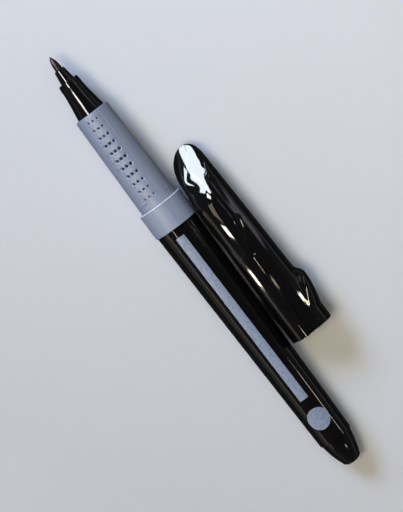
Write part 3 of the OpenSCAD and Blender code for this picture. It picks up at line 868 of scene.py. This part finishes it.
def make_seams():
    """The grip's moulding seam runs straight along both sides of it."""
    ends = (GRIP_Z + SEAM_INSET, COLLAR_Z - SEAM_INSET)
    near = SEAM_MID_ARC / grip_r((ends[0] + ends[1]) / 2)
    turns = (near, near + math.pi)
    films = [strip(*ends, [turn * grip_r(z) for z in ends], SEAM_W) for turn in turns]
    make_films("grip_seam", grip_r, films, SEAM)


# Floor

FLOOR_HALF = 3000  # millimetres from the middle to a side
FLOOR_COLOUR = (0.67, 0.683, 0.697)
FLOOR_ROUGH = 0.6
FLOOR_GRAIN_PER_MM = 4.0
FLOOR_GRAIN_DEPTH = 0.01
FLOOR_GRAIN_STRENGTH = 0.1
CLOUD_PER_MM = 0.004
CLOUD_SHADES = (0.98, 1.02)
# A painted light falloff across the floor, darker at one side and lighter at the other
FLOOR_PAINTED_FALLOFF_AXIS = (-0.4, 0.917, 0.0)
FLOOR_PAINTED_FALLOFF_REACH = 0.065
FLOOR_PAINTED_FALLOFF = (0.872, 1.128)


def floor_look():
    """Matt pale paint, with a painted light falloff from darker at one corner of the picture to lighter
    at the other.
    """
    made, tree, shader = new_material("floor_look")
    cloud = noise(tree, CLOUD_PER_MM, detail=2.0)
    plain = mixed(tree, cloud, *shades(FLOOR_COLOUR, CLOUD_SHADES))
    coords = add_node(tree, "TexCoord")
    both = {0: coords.outputs["Object"], 1: FLOOR_PAINTED_FALLOFF_AXIS}
    place = add_node(tree, "VectorMath", both, operation="DOT_PRODUCT")
    painted_falloff = ranged(tree, place.outputs["Value"], (-FLOOR_PAINTED_FALLOFF_REACH, FLOOR_PAINTED_FALLOFF_REACH), FLOOR_PAINTED_FALLOFF)
    shade = add_node(tree, "VectorMath", {0: plain, "Scale": painted_falloff}, operation="SCALE")
    feed(tree, shader, "Base Color", shade.outputs["Vector"])
    shader.inputs["Roughness"].default_value = FLOOR_ROUGH
    shader.inputs["Specular IOR Level"].default_value = 0.0
    bumped(tree, shader, noise(tree, FLOOR_GRAIN_PER_MM), FLOOR_GRAIN_DEPTH, FLOOR_GRAIN_STRENGTH)
    return made


def make_floor():
    """The floor stays out of mirrored light, so that the black plastic's edges stay dark."""
    corners = [(x * FLOOR_HALF, y * FLOOR_HALF, 0) for x, y in ((-1, -1), (1, -1), (1, 1), (-1, 1))]
    floor = new_object("floor", corners, [(0, 1, 2, 3)])
    floor.data.materials.append(floor_look())
    floor.visible_glossy = False


# Light

SKY = (0.54, 0.68, 1.0)
ROOM = (1.0, 0.84, 0.58)
CEILING = (0.98, 1.0, 0.9)
PANE = (0.8, 0.89, 1.0)
COOL = (0.88, 0.94, 1.0)
WHITE = (1.0, 0.98, 0.95)
WARM = (1.0, 0.88, 0.7)
LILAC = (0.86, 0.82, 1.0)

# Points that lamps are laid out from, in millimetres
HOME = (0, 0, 0)
ON_FACET = (-19, 5, 8)
ON_CREST = (-9, 3.3, 11.8)
ON_ROOT = (-2.9, 2.9, 12.1)
ON_CLIP = (10.9, 1.4, 11.9)
ON_FLARE = (21.9, 8.0, 11.3)
ON_CAP_SIDE = (-6, 8, 10)
ON_CONE = (-52, -3, 9)
ON_BARREL = (-9, -8, 11.7)
ON_BARREL_REAR = (46.4, -4.3, 9.3)
ON_TAIL = (59.6, -5.7, 8.4)


def make_lamp(name, aim, colour, level, size, towards, distance):
    """A rectangular lamp in a direction from a point; level 1 is as bright as white paper.

    The point is in millimetres, the lamp's size and distance are in metres.
    """
    data = bpy.data.lights.new(name, "AREA")
    data.shape = "RECTANGLE"
    data.size, data.size_y = size
    data.energy = level * math.pi * size[0] * size[1]
    data.color = colour
    lamp = bpy.data.objects.new(name, data)
    direction = Vector(towards).normalized()
    lamp.location = Vector(aim) * MM + direction * distance
    lamp.rotation_mode = "QUATERNION"
    lamp.rotation_quaternion = direction.to_track_quat("Z", "Y")
    bpy.context.scene.collection.objects.link(lamp)
    return lamp


def soft_box(name, aim, colour, **values):
    """A lamp that lights what is matt, and that gloss doesn't show."""
    make_lamp(name, aim, colour, **values).visible_glossy = False


def mirrored(name, aim, colour, **values):
    """A lamp that only gloss shows."""
    make_lamp(name, aim, colour, **values).visible_diffuse = False


def pane(name, size, towards):
    """A part of the window that the cap's slanted end mirrors."""
    mirrored(name, ON_FACET, PANE, level=52.0, size=size, towards=towards, distance=1.2)


def make_soft_boxes():
    soft_box("key", HOME, SKY, level=16.8, size=(0.5, 0.4), towards=(-0.78, -0.22, 0.6), distance=1.1)
    soft_box("fill", HOME, ROOM, level=13.8, size=(0.3, 0.3), towards=(-0.05, -0.35, 0.93), distance=1.0)
    soft_box("top", HOME, CEILING, level=1.2, size=(0.7, 0.7), towards=(0.05, 0.0, 1.0), distance=1.0)


def make_window():
    pane("window", size=(0.257, 0.337), towards=(-0.737, -0.279, 0.616))
    pane("window_far", size=(0.14, 0.295), towards=(-0.62, 0.251, 0.743))
    pane("window_top", size=(0.444, 0.337), towards=(-0.577, -0.467, 0.669))
    pane("window_end", size=(0.083, 0.088), towards=(-0.801, -0.369, 0.471))
    pane("window_low", size=(0.174, 0.052), towards=(-0.73, -0.478, 0.489))


def make_small_lamps():
    mirrored("lamp_root", ON_ROOT, WARM, level=90.0, size=(0.02, 0.17),
             towards=(-0.018, -0.596, 0.803), distance=0.7)
    mirrored("lamp_clip", ON_CLIP, WARM, level=90.0, size=(0.014, 0.16),
             towards=(0.046, -0.919, 0.39), distance=0.8)
    mirrored("lamp_flare", ON_FLARE, WARM, level=90.0, size=(0.008, 0.2),
             towards=(0.042, 0.828, 0.559), distance=0.8)
    mirrored("lamp_nose", HOME, WHITE, level=60.0, size=(0.1, 0.13),
             towards=(-0.293, -0.421, 0.857), distance=0.7)
    mirrored("lamp_barrel", ON_BARREL, WARM, level=60.0, size=(0.012, 0.02),
             towards=(0.13, -0.53, 0.84), distance=0.7)
    mirrored("lamp_line", ON_BARREL_REAR, WARM, level=50.0, size=(0.045, 0.02),
             towards=(0.213, 0.79, 0.575), distance=0.8)
    mirrored("lamp_tail", ON_TAIL, COOL, level=20.0, size=(0.06, 0.06),
             towards=(0.608, 0.341, 0.717), distance=0.7)


def make_cards():
    mirrored("card_root", ON_CREST, WARM, level=6.0, size=(0.07, 0.2),
             towards=(-0.1, -0.56, 0.82), distance=0.7)
    mirrored("card_cone", ON_CONE, COOL, level=1.6, size=(0.14, 0.3),
             towards=(-0.18, 0.72, 0.62), distance=1.0)
    mirrored("card_left", HOME, WARM, level=1.4, size=(0.74, 0.3),
             towards=(0.2, -0.93, 0.3), distance=1.2)
    mirrored("card_right", ON_CAP_SIDE, LILAC, level=2.6, size=(0.055, 0.5),
             towards=(-0.01, 0.93, 0.34), distance=1.2)


def make_lights():
    """Soft boxes for what is matt, and a window, small lamps and cards for what gloss shows."""
    make_soft_boxes()
    make_window()
    make_small_lamps()
    make_cards()


# Heights in the world are those of directions, from -1 straight down to 1 straight up
NADIR_GREY = (0.05, 0.05, 0.05)
ROOM_LOW, ROOM_HIGH = (0.23, 0.215, 0.19), (0.06, 0.06, 0.065)
NADIR_SPAN = (-0.06, -0.15)
HORIZON_SPAN = (0.02, 0.1)
ROOM_SPAN = (0.1, 0.9)


def make_world():
    """Dim above, lighter lower down, pale like the floor at the horizon, and dark below for the gloss."""
    world = bpy.data.worlds.new("studio")
    world.use_nodes = True
    tree = world.node_tree
    coords = add_node(tree, "TexCoord")
    height = add_node(tree, "SeparateXYZ", {"Vector": coords.outputs["Generated"]}).outputs["Z"]
    room = mixed(tree, ranged(tree, height, ROOM_SPAN), ROOM_LOW, ROOM_HIGH)
    horizon = mixed(tree, ranged(tree, height, HORIZON_SPAN), FLOOR_COLOUR, room)
    sky = mixed(tree, ranged(tree, height, NADIR_SPAN), horizon, NADIR_GREY)
    feed(tree, tree.nodes["Background"], "Color", sky)
    bpy.context.scene.world = world


# Camera

IMAGE_H = 512
PX_PER_MM = 3.932
TIP_TO_TAIL = Vector((0.6028, -0.7979))
VIEW_CENTRE = Vector((-1.3, -6.0, 6.0)) * MM
VIEW_DISTANCE = 0.6
VIEW_LEAN = 4.0


def make_camera():
    """Above the object, leaning a little towards the tip, with the pen turned as in the photograph."""
    data = bpy.data.cameras.new("camera")
    data.lens = VIEW_DISTANCE * data.sensor_width / (IMAGE_H / PX_PER_MM * MM)
    camera = bpy.data.objects.new("camera", data)
    lean = math.radians(VIEW_LEAN)
    back = Vector((-math.sin(lean), 0, math.cos(lean)))
    right = Vector((TIP_TO_TAIL.x, -TIP_TO_TAIL.y, 0))
    right = (right - back * right.dot(back)).normalized()
    turn = Matrix((right, back.cross(right), back)).transposed().to_4x4()
    camera.matrix_world = Matrix.Translation(VIEW_CENTRE + back * VIEW_DISTANCE) @ turn
    bpy.context.scene.collection.objects.link(camera)
    bpy.context.scene.camera = camera


make_camera()
dress_nodes()
make_cap()
make_prints()
make_seams()
make_floor()
make_lights()
make_world()
bpy.context.scene.view_settings.view_transform = "Standard"
